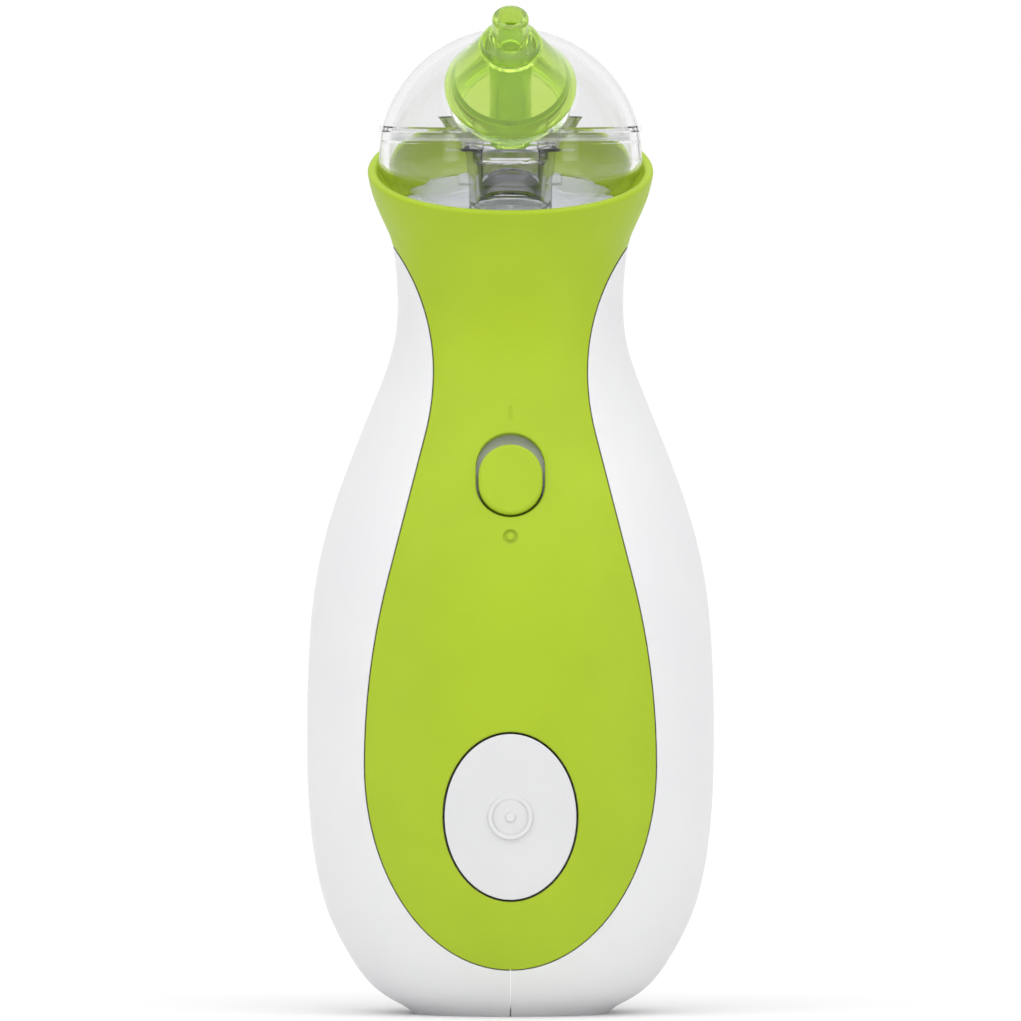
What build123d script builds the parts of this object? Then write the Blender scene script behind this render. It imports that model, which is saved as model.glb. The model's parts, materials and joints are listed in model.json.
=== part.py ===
from build123d import *
from math import acos, asin, atan2, cos, degrees, hypot, radians, sin
import os

# Battery-powered nasal aspirator.  Millimetres, +Z up.  The origin is the middle of the flat base.
# The front, with the switch and the button, faces -Y.  Left and right are as seen from the front.

# ---------------------------------------------------------------- driving dimensions
# outer skin: height, half-width (X), half-depth (Y) of each elliptical section
BODY_SECTIONS = [
    (0.0, 14.0, 11.6), (2.0, 17.0, 14.3), (5.0, 20.7, 17.6), (9.0, 23.4, 20.1), (14.0, 25.9, 22.2),
    (20.0, 27.6, 23.7), (28.0, 28.7, 24.6), (38.0, 29.1, 25.0), (50.0, 28.9, 24.6), (60.0, 28.1, 23.6),
    (70.0, 26.0, 21.7), (80.0, 22.5, 19.1), (88.0, 19.3, 17.0), (96.0, 16.6, 15.3), (102.0, 16.1, 15.1),
    (107.0, 16.4, 15.6), (110.5, 17.0, 16.4), (114.0, 18.5, 18.1), (117.0, 19.7, 19.5), (120.0, 20.4, 20.3),
    (124.0, 20.6, 20.6), (130.0, 20.7, 20.7),
]
SECTION_TOP = 130.0
CASING_HOLLOW_TOP = 112.0
BAY_LOW = 108.0                # the collar turns thin-walled above this height
FLOOR_ZONE = (100.0, 124.0)    # heights between which the sloping bay floor lies
WALL = 2.0                     # white casing
PANEL_WALL = 1.6               # green front panel
LEDGE_GAP = 1.75               # front of the ledge that carries the panel
LEDGE_BACK = 3.0
COLLAR_WALL = 1.35
FRAME_INSET = 2.6              # inner parts stay inside the skin by this much
FRAME_CLEARANCE = 0.5
FLOOR_CLEARANCE = 0.15
RIB_ROOT = 0.3                 # how far the floor's rib reaches into the collar wall
BASE_FLOOR = 2.2
SEAM_GAP = 0.12                # parting gap between casing parts

# front view of the green panel: half an ellipse below, then a full belly, a straight taper and a hollow neck
PANEL_HALF_WIDTH = 20.7
PANEL_BOTTOM = 7.0
PANEL_WIDEST_Z = 36.0
BELLY_R = 107.0
NECK_HALF_WIDTH = 10.9
NECK_Z = 92.0
NECK_LOWER_R = 35.5
NECK_UPPER_R = 30.0
COLLAR_BOTTOM = 110.7
PANEL_GAP = 0.13
LEDGE_WIDTH = 5.0
LEDGE_TOP = 103.0

# screws that clamp both casing halves to the inner frame, hidden under the panel: x, z
CASING_SCREWS = [(-14, 32), (14, 32), (-14, 58), (14, 58)]
SCREW_SEAT = -15.3
SCREW_BOSS_R = 3.1
SCREW_BOSS_BACK = -14.0
SCREW_HOLE_R = 1.35
SCREW_WELL = 1.2               # the head sinks this far into its boss
SCREW_WELL_WALL = 0.7
SCREW_LENGTH = 7.0
SCREW_RECESS_R = 0.7
SCREW_RECESS_DEPTH = 0.3
SCREW_HEAD_R = 2.2
SCREW_HEAD_H = 1.0
SCREW_R = 1.1

# collar rim seen from the side, a shallow arc: depth, height
RIM_PROFILE = [(-26.0, 112.8), (0.0, 120.5), (26.0, 131.2)]
RIM_ROUND = 0.5
RIM_LOWEST = 114.5
RIM_EDGE_SHORTEST = 6.0
SCOOP_RADIUS = 17.3
SCOOP_CENTRE_Z = 141.0

# bay floor
FLOOR_TILT = 15.6
FLOOR_CENTRE_Z = 113.5
FLOOR_THICK = 1.6
FLOOR_DISC_R = 28.0
FLOOR_STEP = (15.0, 7.0, 0.4)  # raised step at the back, under the bowl: width, depth, rise
FLOOR_STEP_Y = 15.0
RIB_BELOW_FLOOR = 1.2
RIB_THICK = 1.15

# head
HEAD_Z = 122.0                 # centre of the clear ball
HEAD_R = 18.9
HEAD_WALL = 1.35
SEAM_Z = 126.0
SEAM_HALF_GAP = 0.05
SPIGOT_WALL = 0.6
SPIGOT_DROP = 0.8
LUG_X = 18.2
LUG_SIZE = (1.2, 3.0, 1.0)
ABOVE_ALL = 150.0
BOWL_DEPTH = 9.6               # the bowl's full ellipse, cut off by its sloping bottom
BOWL_ABOVE_FLOOR = 0.55
CHIMNEY_WALL = 0.9
CHIMNEY_TAPER_Z = 118.4
CHIMNEY_TOP_R = 6.5
CHIMNEY_TOP_Z = 123.0
STEM_R = 5.95
STEM_BORE = 4.4
STEM_BORE_TOP = 114.8
O_RING_Z = 111.7
O_RING_GROOVE = 0.9
O_RING_WIRE = 0.42
STEM_END = 109.8
# half section of the funnel: radius, height
FUNNEL_PROFILE = [
    (9.6, 128.3), (10.4, 128.2), (6.85, 123.5), (9.2, 123.45), (9.2, 123.05), (5.5, 123.05), (5.35, 121.9),
    (4.85, 121.3), (4.4, 116.4), (4.05, 116.3), (4.3, 121.5), (4.75, 122.8), (6.0, 123.7),
]
SEAL_LEDGE = (17.8, 16.1, 2.3, 2.7)    # outer and inner radius, bottom and top above the ball's centre
CUP_TOP_R = 18.45
LIP_R = 17.0
SOCKET_R = 6.02
SOCKET_WALL = 1.5
SOCKET_FLOOR = 1.6
STEM_GAP = 0.4                 # below the end of the stem
PORT_TILT = 39.0               # the nozzle's seat looks forward and up
TIP_TILT = 46.0                # and its tip bends a little further up
BEND_START = 3.0
BEND_RADIUS = 60.0
TIP_STRAIGHT = 4.6
PORT_R = 7.6
PORT_RING_WALL = 1.1
PORT_RING_DEPTH = 2.8
SEAT_DISTANCE = 16.4           # ball centre to the nozzle flange
FLANGE_R = 9.4
TIP_R = 2.6
TIP_BORE_R = 1.75
SPOUT_R = 3.0
NOTCH_ROOM = (0.8, 2.0)        # beside and below the spout
PLUG_WALL = 0.7
PLUG_DEPTH = 2.9

# slide switch
SWITCH_Z = 77.4
SWITCH_Y = -19.9
SWITCH_LEAN = 14.0             # the panel leans back here
SLOT_SIZE = (9.8, 12.3)
KNOB_SIZE = (9.1, 10.2)
KNOB_REST = -0.7               # the knob rests at the lower end of its slot

KNOB_RISE = 0.45
MARK_OFFSET = 9.0
MARK_HEIGHT = 2.0
MARK_LINE = 0.45
MARK_DEPTH = 0.3

# main button
BUTTON_Z = 28.9
BUTTON_SIZE = (19.3, 24.2)
BUTTON_GAP = 0.3
BUTTON_BACK = -18.3

# electrics
BOARD_FRONT = -13.5
BOARD_THICK = 1.2
BOARD_SCREWS = [(-9, 22), (9, 22), (-9, 50), (9, 50)]
# parts on the board: x, z, width, height, how far they stand out
BOARD_PARTS = [
    (-4, 44, 5, 5, 1.2), (5, 44, 3, 2, 0.8), (5, 48, 3, 2, 0.8), (0, 53, 6, 4, 1.5),
    (-7, 40, 2, 1.2, 0.6), (7, 40, 2, 1.2, 0.6), (0, 62, 7, 4, 1.8), (-6, 58, 2, 1.2, 0.6),
]
TACT_TOP = -16.7
BUTTON_TRAVEL = 0.8
BUTTON_HOLLOW = 4.0
SPRING_WIRE = 0.25
SPRING_TURNS = 5
BOARD_BACK = BOARD_FRONT + BOARD_THICK
CELL_R = 7.1
CELL_X = 7.4
CELL_Y = 9.5
CELL_LENGTH = 49.2
CELL_NUB = 1.3
TRAY_FRONT = 1.0
TRAY_THICK = 1.2
TRAY_LOW = 10.0
TRAY_HIGH = 66.0
CELL_BOTTOM = TRAY_LOW + TRAY_THICK + 2.3
LEAD_R = 0.5
MOTOR_LEAD_Y = -9.0

# drive, stacked upwards
MOTOR_R = 10.2
MOTOR_LOW = 67.0
MOTOR_HIGH = 86.0
SHAFT_R = 1.0
PUMP_R = 11.3
PUMP_SCREW_R = 9.4
PUMP_LOW = 86.1
HUB_LOW = 87.4
HUB_TOP = 89.8
DIAPHRAGM_LOW = 92.6
PUMP_HEAD_LOW = 95.0
BARB_TOP = 101.4
DOOR_SIZE = (33.0, 48.0)
DOOR_Z = 38.0
DOOR_CORNER = 6.0
DOOR_GAP = 0.15
HOOK_X = 4.0
HOOK_WIDTH = 4.0
HOOK_FRONT = 17.2
HOOK_BACK = 20.6
HOOK_THICK = 0.9
HOOK_LOW = 11.6
HOOK_HIGH = 17.0
HOOK_ROOT = 2.0
LATCH_HALF = 4.0
LATCH_FRONT = 17.6
LATCH_BACK = 22.2
LATCH_LOW = 57.6
LATCH_THICK = 1.2
LATCH_TONGUE = 3.0
GRIP_HEIGHTS = (51.5, 53.5, 55.5)
GRIP_WIDTH = 0.9
GRIP_HALF = 7.0
GRIP_DEPTH_Y = 23.75
VENT_X = 5.0
VENT_SIZE = (5.2, 1.2)
VENT_HEIGHTS = (85, 88, 91, 94)
NIPPLE_LOW = 104.6
NIPPLE_R = 1.5
NIPPLE_BORE = 0.9
HALF_WORLD = 60.0
PRISM_BACK = 1.0


def skin(inset, low, high):
    """Solid inside the outer skin, moved in by inset and cut between two heights."""
    with BuildPart() as solid:
        for height, half_width, half_depth in BODY_SECTIONS:
            with BuildSketch(Plane.XY.offset(height)):
                Ellipse(half_width - inset, half_depth - inset)
        loft()
        if low > 0 or high < SECTION_TOP:
            with BuildSketch(Plane.XY.offset(low)):
                Rectangle(HALF_WORLD, HALF_WORLD)
            extrude(amount=high - low, mode=Mode.INTERSECT)
    return solid.part


def panel_prism(grow):
    """Front-view outline of the green panel, grown sideways, drawn forward out of the body."""
    belly_x = PANEL_HALF_WIDTH - BELLY_R
    lower_x = NECK_HALF_WIDTH + NECK_LOWER_R
    upper_x = NECK_HALF_WIDTH + NECK_UPPER_R
    across = lower_x - belly_x
    rise = NECK_Z - PANEL_WIDEST_Z
    taper = degrees(atan2(rise, across) - acos((BELLY_R + NECK_LOWER_R) / hypot(across, rise)))
    flare = degrees(asin((COLLAR_BOTTOM - NECK_Z) / (NECK_UPPER_R - grow)))
    with BuildPart() as prism:
        with BuildSketch(Plane.XZ.offset(-PRISM_BACK)):
            with BuildLine():
                EllipticalCenterArc(
                    (0, PANEL_WIDEST_Z), PANEL_HALF_WIDTH + grow,
                    PANEL_WIDEST_Z - PANEL_BOTTOM + grow, start_angle=270, arc_size=90,
                )
                belly = CenterArc((belly_x, PANEL_WIDEST_Z), BELLY_R + grow, 0, taper)
                neck = CenterArc((lower_x, NECK_Z), NECK_LOWER_R - grow, 180, taper)
                Line(belly @ 1, neck @ 1)
                bell = CenterArc((upper_x, NECK_Z), NECK_UPPER_R - grow, 180, -flare)
                Line(bell @ 1, (0, COLLAR_BOTTOM))
                mirror(about=Plane.YZ)
            make_face()
        extrude(amount=HALF_WORLD)
    return prism.part


def tube(outer, inner, low, high, centre=(0, 0)):
    """Upright ring between two heights, solid where inner is 0."""
    with BuildPart() as ring:
        with BuildSketch(Plane.XY.offset(low)):
            with Locations(centre):
                Circle(outer)
                if inner:
                    Circle(inner, mode=Mode.SUBTRACT)
        extrude(amount=high - low)
    return ring.part


def block(x_range, y_range, z_range):
    """Box between the given limits."""
    with BuildPart() as box:
        with BuildSketch(Plane.XY.offset(z_range[0])):
            with Locations(((x_range[0] + x_range[1]) / 2, (y_range[0] + y_range[1]) / 2)):
                Rectangle(x_range[1] - x_range[0], y_range[1] - y_range[0])
        extrude(amount=z_range[1] - z_range[0])
    return box.part


def wide_block(low, high):
    """Box wider and deeper than the whole object, between two heights."""
    return block((-HALF_WORLD / 2, HALF_WORLD / 2), (-HALF_WORLD / 2, HALF_WORLD / 2), (low, high))


def rod_y(radius, x, z, front, back):
    """Cylinder along Y between front and back."""
    with BuildPart() as rod:
        with BuildSketch(Plane.XZ.offset(-front)):
            with Locations((x, z)):
                Circle(radius)
        extrude(amount=-(back - front))
    return rod.part


def coil(radius, wire, pitch, turns, centre, direction=(0, 0, 1)):
    """Round-wire compression coil from the middle of its fixed end, along direction."""
    with BuildPart() as spring:
        with BuildLine():
            path = Helix(pitch=pitch, height=pitch * turns, radius=radius, center=centre, direction=direction)
        with BuildSketch(Plane(origin=path @ 0, z_dir=path % 0)):
            Circle(wire)
        sweep(path=path, is_frenet=True)
    return spring.part


def lead(points, radius):
    """Insulated wire along straight runs joined by round bends."""
    with BuildPart() as wire:
        with BuildLine():
            path = FilletPolyline(*points, radius=radius)
        with BuildSketch(Plane(origin=path @ 0, z_dir=path % 0)):
            Circle(LEAD_R)
        sweep(path=path)
    return wire.part


outer = skin(0, 0, SECTION_TOP)
casing_inside = skin(WALL, BASE_FLOOR, CASING_HOLLOW_TOP)
panel_inside = skin(PANEL_WALL, BASE_FLOOR, BAY_LOW)
ledge_front = skin(LEDGE_GAP, BASE_FLOOR, BAY_LOW)
ledge_back = skin(LEDGE_BACK, BASE_FLOOR, BAY_LOW)
frame_room = skin(FRAME_INSET, BASE_FLOOR + FRAME_CLEARANCE, BAY_LOW)
bay_inside = skin(COLLAR_WALL, BAY_LOW, SECTION_TOP)
floor_room = skin(PANEL_WALL + FLOOR_CLEARANCE, FLOOR_ZONE[0], FLOOR_ZONE[1])
rib_outside = skin(COLLAR_WALL - RIB_ROOT, FLOOR_ZONE[0], FLOOR_ZONE[1])
rib_inside = skin(LEDGE_BACK, FLOOR_ZONE[0], FLOOR_ZONE[1])
switch_plane = Plane(
    origin=(0, SWITCH_Y, SWITCH_Z),
    x_dir=(1, 0, 0),
    z_dir=(0, -cos(radians(SWITCH_LEAN)), sin(radians(SWITCH_LEAN))),
)
floor_plane = Plane(
    origin=(0, 0, FLOOR_CENTRE_Z),
    x_dir=(1, 0, 0),
    z_dir=(0, -sin(radians(FLOOR_TILT)), cos(radians(FLOOR_TILT))),
)


def above_floor(rise):
    """Everything more than rise above the sloping bay floor."""
    with BuildPart() as space:
        with BuildSketch(floor_plane.offset(rise)):
            Rectangle(HALF_WORLD, HALF_WORLD)
        extrude(amount=HALF_WORLD / 2)
    return space.part


# ---------------------------------------------------------------- green front panel with collar
with BuildPart() as above_rim:
    with BuildSketch(Plane.YZ):
        with BuildLine():
            ThreePointArc(*RIM_PROFILE)
            Polyline(RIM_PROFILE[-1], (26, 140), (-26, 140), RIM_PROFILE[0])
        make_face()
    extrude(amount=HALF_WORLD / 2, both=True)
    with BuildSketch(Plane.XZ):
        with Locations((0, SCOOP_CENTRE_Z)):
            Circle(SCOOP_RADIUS)
    extrude(amount=-HALF_WORLD / 2)

with BuildPart() as green_zone:
    add(panel_prism(0))
    add(wide_block(COLLAR_BOTTOM - 0.1, SECTION_TOP))

pieces = {}

with BuildPart() as button_prism:
    with BuildSketch(Plane.XZ):
        with Locations((0, BUTTON_Z)):
            Ellipse(BUTTON_SIZE[0] / 2, BUTTON_SIZE[1] / 2)
    extrude(amount=HALF_WORLD)

with BuildPart() as slot_prism:
    with BuildSketch(switch_plane.offset(-8)):
        SlotOverall(SLOT_SIZE[1], SLOT_SIZE[0], rotation=90)
    extrude(amount=20)

# the rib inside the collar that carries the floor
with BuildPart() as floor_rib:
    with BuildSketch(floor_plane.offset(-FLOOR_THICK - RIB_BELOW_FLOOR)):
        Circle(FLOOR_DISC_R)
    extrude(amount=RIB_THICK)
    add(rib_outside, mode=Mode.INTERSECT)
    add(rib_inside, mode=Mode.SUBTRACT)
    add(wide_block(COLLAR_BOTTOM, FLOOR_ZONE[1]), mode=Mode.INTERSECT)

with BuildPart() as front_panel:
    add(outer)
    add(green_zone.part, mode=Mode.INTERSECT)
    add(panel_inside, mode=Mode.SUBTRACT)
    add(bay_inside, mode=Mode.SUBTRACT)
    add(above_rim.part, mode=Mode.SUBTRACT)
    long_edges = edges().filter_by(lambda edge: edge.length > RIM_EDGE_SHORTEST)
    fillet(long_edges.filter_by(lambda edge: edge.bounding_box().min.Z > RIM_LOWEST), RIM_ROUND)
    add(floor_rib.part)
    add(button_prism.part, mode=Mode.SUBTRACT)
    add(slot_prism.part, mode=Mode.SUBTRACT)
    # plain marks: a bar above the switch and a ring below it
    with BuildSketch(switch_plane.offset(-MARK_DEPTH)):
        with Locations((0, MARK_OFFSET)):
            Rectangle(MARK_LINE, MARK_HEIGHT)
        with Locations((0, -MARK_OFFSET)):
            Circle(MARK_HEIGHT / 2)
            Circle(MARK_HEIGHT / 2 - MARK_LINE, mode=Mode.SUBTRACT)
    extrude(amount=5, mode=Mode.SUBTRACT)
pieces["front_panel"] = front_panel

# ---------------------------------------------------------------- white casing halves
with BuildPart() as green_clearance:
    add(panel_prism(PANEL_GAP))
    add(wide_block(COLLAR_BOTTOM - PANEL_GAP - 0.1, SECTION_TOP))

with BuildPart() as door_opening:
    with BuildSketch(Plane.XZ):
        with Locations((0, DOOR_Z)):
            RectangleRounded(*DOOR_SIZE, DOOR_CORNER)
    extrude(amount=-HALF_WORLD / 2)

with BuildPart() as panel_ledge:
    add(ledge_front)
    add(ledge_back, mode=Mode.SUBTRACT)
    add(panel_prism(1.0), mode=Mode.INTERSECT)
    add(panel_prism(-LEDGE_WIDTH), mode=Mode.SUBTRACT)
    add(block((-30, 30), (-30, 0), (BASE_FLOOR + 1, LEDGE_TOP)), mode=Mode.INTERSECT)

with BuildPart() as casing:
    add(outer)
    add(casing_inside, mode=Mode.SUBTRACT)
    add(green_clearance.part, mode=Mode.SUBTRACT)
    add(panel_ledge.part)
    for x, z in CASING_SCREWS:
        add(rod_y(SCREW_BOSS_R, x, z, SCREW_SEAT - SCREW_WELL, SCREW_BOSS_BACK))
        add(rod_y(SCREW_BOSS_R - SCREW_WELL_WALL, x, z, -HALF_WORLD / 2, SCREW_SEAT), mode=Mode.SUBTRACT)
        add(rod_y(SCREW_HOLE_R, x, z, SCREW_SEAT - 1, SCREW_BOSS_BACK + 1), mode=Mode.SUBTRACT)
    add(door_opening.part, mode=Mode.SUBTRACT)
    for z in VENT_HEIGHTS:
        for x in (-VENT_X, VENT_X):
            slot_x = (x - VENT_SIZE[0] / 2, x + VENT_SIZE[0] / 2)
            slot_z = (z - VENT_SIZE[1] / 2, z + VENT_SIZE[1] / 2)
            add(block(slot_x, (8, 25), slot_z), mode=Mode.SUBTRACT)

with BuildPart() as left_shell:
    add(casing.part)
    add(block((-30, -SEAM_GAP / 2), (-30, 30), (-1, 120)), mode=Mode.INTERSECT)
pieces["left_shell"] = left_shell

with BuildPart() as right_shell:
    add(casing.part)
    add(block((SEAM_GAP / 2, 30), (-30, 30), (-1, 120)), mode=Mode.INTERSECT)
pieces["right_shell"] = right_shell

with BuildPart() as casing_screws:
    for x, z in CASING_SCREWS:
        add(rod_y(SCREW_HEAD_R, x, z, SCREW_SEAT - SCREW_HEAD_H, SCREW_SEAT - 0.02))
        add(rod_y(SCREW_R, x, z, SCREW_SEAT - 0.1, SCREW_SEAT + SCREW_LENGTH))
        recess_end = SCREW_SEAT - SCREW_HEAD_H + SCREW_RECESS_DEPTH
        add(rod_y(SCREW_RECESS_R, x, z, recess_end - 1, recess_end), mode=Mode.SUBTRACT)
pieces["casing_screws"] = casing_screws

# ---------------------------------------------------------------- battery door
with BuildPart() as battery_door:
    add(outer)
    add(casing_inside, mode=Mode.SUBTRACT)
    with BuildSketch(Plane.XZ):
        with Locations((0, DOOR_Z)):
            RectangleRounded(
                DOOR_SIZE[0] - 2 * DOOR_GAP, DOOR_SIZE[1] - 2 * DOOR_GAP, DOOR_CORNER - DOOR_GAP
            )
    extrude(amount=-HALF_WORLD / 2, mode=Mode.INTERSECT)
    # hooks below, a sprung finger above and finger grooves outside
    for x in (-HOOK_X, HOOK_X):
        hook_x = (x - HOOK_WIDTH / 2, x + HOOK_WIDTH / 2)
        add(block(hook_x, (HOOK_FRONT, HOOK_FRONT + HOOK_THICK), (HOOK_LOW, HOOK_HIGH)))
        add(block(hook_x, (HOOK_FRONT, HOOK_BACK), (HOOK_HIGH - HOOK_ROOT, HOOK_HIGH)))
    latch_x = (-LATCH_HALF, LATCH_HALF)
    add(block(latch_x, (LATCH_FRONT, LATCH_BACK), (LATCH_LOW, LATCH_LOW + LATCH_THICK)))
    add(block(latch_x, (LATCH_FRONT, LATCH_FRONT + 1), (LATCH_LOW, LATCH_LOW + LATCH_TONGUE)))
    for z in GRIP_HEIGHTS:
        groove = (z - GRIP_WIDTH / 2, z + GRIP_WIDTH / 2)
        add(block((-GRIP_HALF, GRIP_HALF), (GRIP_DEPTH_Y, HALF_WORLD / 2), groove), mode=Mode.SUBTRACT)
pieces["battery_door"] = battery_door

# ---------------------------------------------------------------- bay floor and suction socket
with BuildPart() as bay_floor:
    with BuildSketch(floor_plane.offset(-FLOOR_THICK)):
        Circle(FLOOR_DISC_R)
    extrude(amount=FLOOR_THICK)
    # socket for the stem, closed below and level with the floor above
    add(tube(SOCKET_R + SOCKET_WALL, 0, STEM_END - SOCKET_FLOOR, FLOOR_CENTRE_Z))
    add(above_floor(0), mode=Mode.SUBTRACT)
    with BuildSketch(floor_plane):
        with Locations((0, FLOOR_STEP_Y)):
            Rectangle(FLOOR_STEP[0], FLOOR_STEP[1])
    extrude(amount=FLOOR_STEP[2])
    add(floor_room, mode=Mode.INTERSECT)
    add(tube(SOCKET_R, 0, STEM_END - STEM_GAP, FLOOR_CENTRE_Z + 4), mode=Mode.SUBTRACT)
    # nipple for the suction hose
    add(tube(NIPPLE_R, 0, NIPPLE_LOW, STEM_END - SOCKET_FLOOR + 0.1))
    add(tube(NIPPLE_BORE, 0, NIPPLE_LOW - 1, STEM_END), mode=Mode.SUBTRACT)
pieces["bay_floor"] = bay_floor

# ---------------------------------------------------------------- clear head
port_out = Vector(0, -cos(radians(PORT_TILT)), sin(radians(PORT_TILT)))
tip_out = Vector(0, -cos(radians(TIP_TILT)), sin(radians(TIP_TILT)))
ball_centre = Vector(0, 0, HEAD_Z)


def port_plane(distance):
    """Plane across the nozzle's seat axis at a distance from the ball's centre."""
    return Plane(origin=ball_centre + port_out * distance, x_dir=(1, 0, 0), z_dir=port_out)


with BuildPart() as port_ring:
    with BuildSketch(port_plane(SEAT_DISTANCE - PORT_RING_DEPTH)):
        Circle(PORT_R + PORT_RING_WALL)
    extrude(amount=PORT_RING_DEPTH + 0.2)
    with Locations(ball_centre):
        Sphere(HEAD_R - 0.1, mode=Mode.INTERSECT)
    add(wide_block(SEAM_Z + SEAM_HALF_GAP, ABOVE_ALL), mode=Mode.INTERSECT)

with BuildPart() as head_dome:
    with BuildSketch(Plane.XZ):
        with Locations((0, HEAD_Z)):
            Circle(HEAD_R)
            Circle(HEAD_R - HEAD_WALL, mode=Mode.SUBTRACT)
        with Locations((HALF_WORLD / 2, SEAM_Z + 10)):
            Rectangle(HALF_WORLD, 20, mode=Mode.INTERSECT)
    revolve(axis=Axis.Z)
    # spigot that drops inside the bowl, and a lug on each side of the joint
    add(tube(LIP_R, LIP_R - SPIGOT_WALL, SEAM_Z - SPIGOT_DROP, SEAM_Z + 0.6))
    for x in (-LUG_X, LUG_X):
        lug_x = (x - LUG_SIZE[0] / 2, x + LUG_SIZE[0] / 2)
        lug_y = (-LUG_SIZE[1] / 2, LUG_SIZE[1] / 2)
        add(block(lug_x, lug_y, (SEAM_Z + SEAM_HALF_GAP, SEAM_Z + LUG_SIZE[2])))
    add(port_ring.part)
    with BuildSketch(port_plane(8)):
        Circle(PORT_R)
    extrude(amount=15, mode=Mode.SUBTRACT)
pieces["head_dome"] = head_dome

with BuildPart() as cup_outside:
    with BuildSketch(Plane.XZ):
        with BuildLine():
            bowl = EllipticalCenterArc((0, HEAD_Z), HEAD_R, BOWL_DEPTH, start_angle=270, arc_size=90)
            cup_top = SEAM_Z - SEAM_HALF_GAP
            Polyline(bowl @ 1, (CUP_TOP_R, cup_top), (0, cup_top), bowl @ 0)
        make_face()
    revolve(axis=Axis.Z)
    add(above_floor(BOWL_ABOVE_FLOOR), mode=Mode.INTERSECT)

with BuildPart() as cup_inside:
    with BuildSketch(Plane.XZ):
        with BuildLine():
            inner_r = HEAD_R - HEAD_WALL - 0.1
            hollow = EllipticalCenterArc(
                (0, HEAD_Z), inner_r, BOWL_DEPTH - HEAD_WALL, start_angle=270, arc_size=90
            )
            Polyline(hollow @ 1, (CUP_TOP_R - HEAD_WALL, cup_top + 0.5), (0, cup_top + 0.5), hollow @ 0)
        make_face()
    revolve(axis=Axis.Z)
    add(above_floor(BOWL_ABOVE_FLOOR + HEAD_WALL), mode=Mode.INTERSECT)

with BuildPart() as head_cup:
    add(cup_outside.part)
    add(cup_inside.part, mode=Mode.SUBTRACT)
    add(tube(SEAL_LEDGE[0], SEAL_LEDGE[1], HEAD_Z + SEAL_LEDGE[2], HEAD_Z + SEAL_LEDGE[3]))
    # stem below and tapered chimney above, in one with the bowl
    with BuildSketch(Plane.XZ):
        Polygon(
            (0, STEM_END), (STEM_R, STEM_END), (STEM_R, CHIMNEY_TAPER_Z), (CHIMNEY_TOP_R, CHIMNEY_TOP_Z),
            (0, CHIMNEY_TOP_Z), align=None,
        )
    revolve(axis=Axis.Z)
    with BuildSketch(Plane.XZ):
        Polygon(
            (0, STEM_END - 1), (STEM_BORE, STEM_END - 1), (STEM_BORE, STEM_BORE_TOP),
            (STEM_R - CHIMNEY_WALL, STEM_BORE_TOP + 0.7), (STEM_R - CHIMNEY_WALL, CHIMNEY_TAPER_Z),
            (CHIMNEY_TOP_R - CHIMNEY_WALL, CHIMNEY_TOP_Z), (CHIMNEY_TOP_R - CHIMNEY_WALL, CHIMNEY_TOP_Z + 1),
            (0, CHIMNEY_TOP_Z + 1), align=None,
        )
    revolve(axis=Axis.Z, mode=Mode.SUBTRACT)
    add(tube(STEM_R + 1, STEM_R - O_RING_GROOVE, O_RING_Z - 0.5, O_RING_Z + 0.5), mode=Mode.SUBTRACT)
pieces["head_cup"] = head_cup

with BuildPart() as head_seal:
    add(tube(LIP_R, LIP_R - 0.9, HEAD_Z + SEAL_LEDGE[3] + 0.05, SEAM_Z - SPIGOT_DROP - 0.05))
pieces["head_seal"] = head_seal

with BuildPart() as separator_funnel:
    # thin cone with a flange that rests on the chimney, and a throat that hangs inside it
    with BuildSketch(Plane.XZ):
        with BuildLine():
            Polyline(*FUNNEL_PROFILE, FUNNEL_PROFILE[0])
        make_face()
    revolve(axis=Axis.Z)
    # notch in the front of the rim that clears the nozzle's spout when the head comes apart
    with BuildSketch(Plane.YZ):
        with BuildLine():
            below = Vector(0, 0, SPOUT_R + NOTCH_ROOM[1])
            notch_low = ball_centre + port_out * 2 - below
            notch_high = ball_centre + port_out * 18 - below
            Polyline(
                (notch_low.Y, notch_low.Z), (notch_high.Y, notch_high.Z), (notch_high.Y, ABOVE_ALL),
                (notch_low.Y, ABOVE_ALL), (notch_low.Y, notch_low.Z),
            )
        make_face()
    extrude(amount=SPOUT_R + NOTCH_ROOM[0], both=True, mode=Mode.SUBTRACT)
pieces["separator_funnel"] = separator_funnel

with BuildPart() as stem_o_ring:
    with BuildSketch(Plane.XZ):
        with Locations((STEM_R - O_RING_WIRE, O_RING_Z)):
            Circle(O_RING_WIRE)
    revolve(axis=Axis.Z)
pieces["stem_o_ring"] = stem_o_ring

# ---------------------------------------------------------------- nozzle
# its middle line: straight out of the seat, then bending a little up towards the tip
port_up = Vector(0, sin(radians(PORT_TILT)), cos(radians(PORT_TILT)))
seat = ball_centre + port_out * SEAT_DISTANCE
full_turn = radians(TIP_TILT - PORT_TILT)


def nozzle_station(run):
    """Plane across the nozzle's middle line, run millimetres out from the seat."""
    turn = min(max(run - BEND_START, 0) / BEND_RADIUS, full_turn)
    beyond = max(run - BEND_START - BEND_RADIUS * full_turn, 0)
    out = port_out * cos(turn) + port_up * sin(turn)
    ahead = min(run, BEND_START) + BEND_RADIUS * sin(turn)
    lift = BEND_RADIUS * (1 - cos(turn))
    return Plane(origin=seat + port_out * ahead + port_up * lift + out * beyond, x_dir=(1, 0, 0), z_dir=out)


def nozzle_loft(*stations):
    """Round sections along the nozzle, each given as run along the middle line and radius."""
    with BuildPart() as body:
        for run, radius in stations:
            with BuildSketch(nozzle_station(run)):
                Circle(radius)
        loft(ruled=True)
    return body.part


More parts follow.
